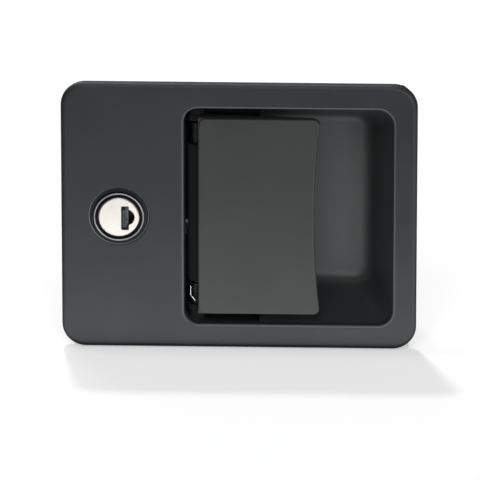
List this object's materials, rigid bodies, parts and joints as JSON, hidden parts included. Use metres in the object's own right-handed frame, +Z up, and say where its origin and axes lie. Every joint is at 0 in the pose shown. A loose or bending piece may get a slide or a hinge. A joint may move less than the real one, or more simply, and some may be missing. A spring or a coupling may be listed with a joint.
{
  "type": "paddle latch",
  "caption": "Flush paddle latch: recessed pull plate with a key lock, a gasket and a rotary latch behind the door skin.",
  "frame": {"origin": "centre of the stud rectangle on the skin of the door, where the gasket's back rests", "axes": "+X to the right and +Z up seen from in front, +Y into the door along the studs"},
  "size_m": [0.14, 0.0533, 0.11],
  "materials": {
    "powder_black": "satin",
    "paddle_black": "satin",
    "lock_black": "satin",
    "nickel": "satin",
    "shutter_steel": "satin",
    "brass": "satin",
    "zinc_steel": "satin",
    "hard_steel": "satin",
    "spring_steel": "polished",
    "rubber": "matt"
  },
  "bodies": {
    "housing": {"housing": "powder_black", "gasket": "rubber", "mounting_studs": "zinc_steel", "hinge_pin": "spring_steel", "hinge_clips": "hard_steel", "paddle_springs": "spring_steel", "lock_barrel": "lock_black", "lock_washer": "zinc_steel", "lock_nut": "zinc_steel", "slide_screws": "hard_steel", "case_upper": "zinc_steel", "case_lower": "zinc_steel", "case_spacers": "hard_steel", "case_screws": "hard_steel", "rotor_pin": "hard_steel", "rotor_spring": "spring_steel", "pawl_pin": "hard_steel", "pawl_spring": "spring_steel"},
    "paddle": {"paddle": "paddle_black"},
    "key_plug": {"lock_plug": "nickel", "wafer_tumblers": "brass", "lock_crank": "zinc_steel", "crank_screw": "hard_steel", "shutter_spring": "spring_steel"},
    "shutter": {"key_shutter": "shutter_steel"},
    "slide": {"lock_slide": "zinc_steel"},
    "pawl": {"pawl": "hard_steel"},
    "lever": {"release_lever": "zinc_steel"},
    "rotor": {"rotor": "hard_steel"}
  },
  "joints": [
    {"name": "paddle_hinge", "type": "hinge", "parent": "housing", "child": "paddle", "pos_m": [-0.017, 0.0025, 0], "axis": [0, 0, -1], "range_deg": [0, 30], "stiffness_Nm_per_rad": 0.25, "springref_deg": -28.65, "deforming": ["paddle_springs"]},
    {"name": "key_turn", "type": "hinge", "parent": "housing", "child": "key_plug", "pos_m": [-0.0473, 0, 0], "axis": [0, 1, 0], "range_deg": [0, 90]},
    {"name": "shutter_swing", "type": "hinge", "parent": "key_plug", "child": "shutter", "pos_m": [-0.0457, -0.0042, 0], "axis": [0, 0, 1], "range_deg": [0, 65], "stiffness_Nm_per_rad": 0.0005, "springref_deg": -28.65},
    {"name": "slide_travel", "type": "slide", "parent": "housing", "child": "slide", "axis": [0, 0, 1], "range_m": [-0.0071, 0]},
    {"name": "pawl_turn", "type": "hinge", "parent": "housing", "child": "pawl", "pos_m": [-0.024, 0.0327, 0], "axis": [0, 0, 1], "range_deg": [0, 12.05]},
    {"name": "lever_travel", "type": "slide", "parent": "pawl", "child": "lever", "axis": [0, 0, 1], "range_m": [-0.0071, 0]},
    {"name": "rotor_turn", "type": "hinge", "parent": "housing", "child": "rotor", "pos_m": [-0.046, 0.032, 0], "axis": [0, 0, -1], "range_deg": [0, 48], "stiffness_Nm_per_rad": 0.05, "springref_deg": -34.38}
  ],
  "couplings": [
    {"joint": "slide_travel", "follows": "key_turn", "m_per_rad": -0.0045},
    {"joint": "lever_travel", "follows": "key_turn", "m_per_rad": -0.0045},
    {"joint": "pawl_turn", "follows": "paddle_hinge", "ratio": 0.4}
  ]
}
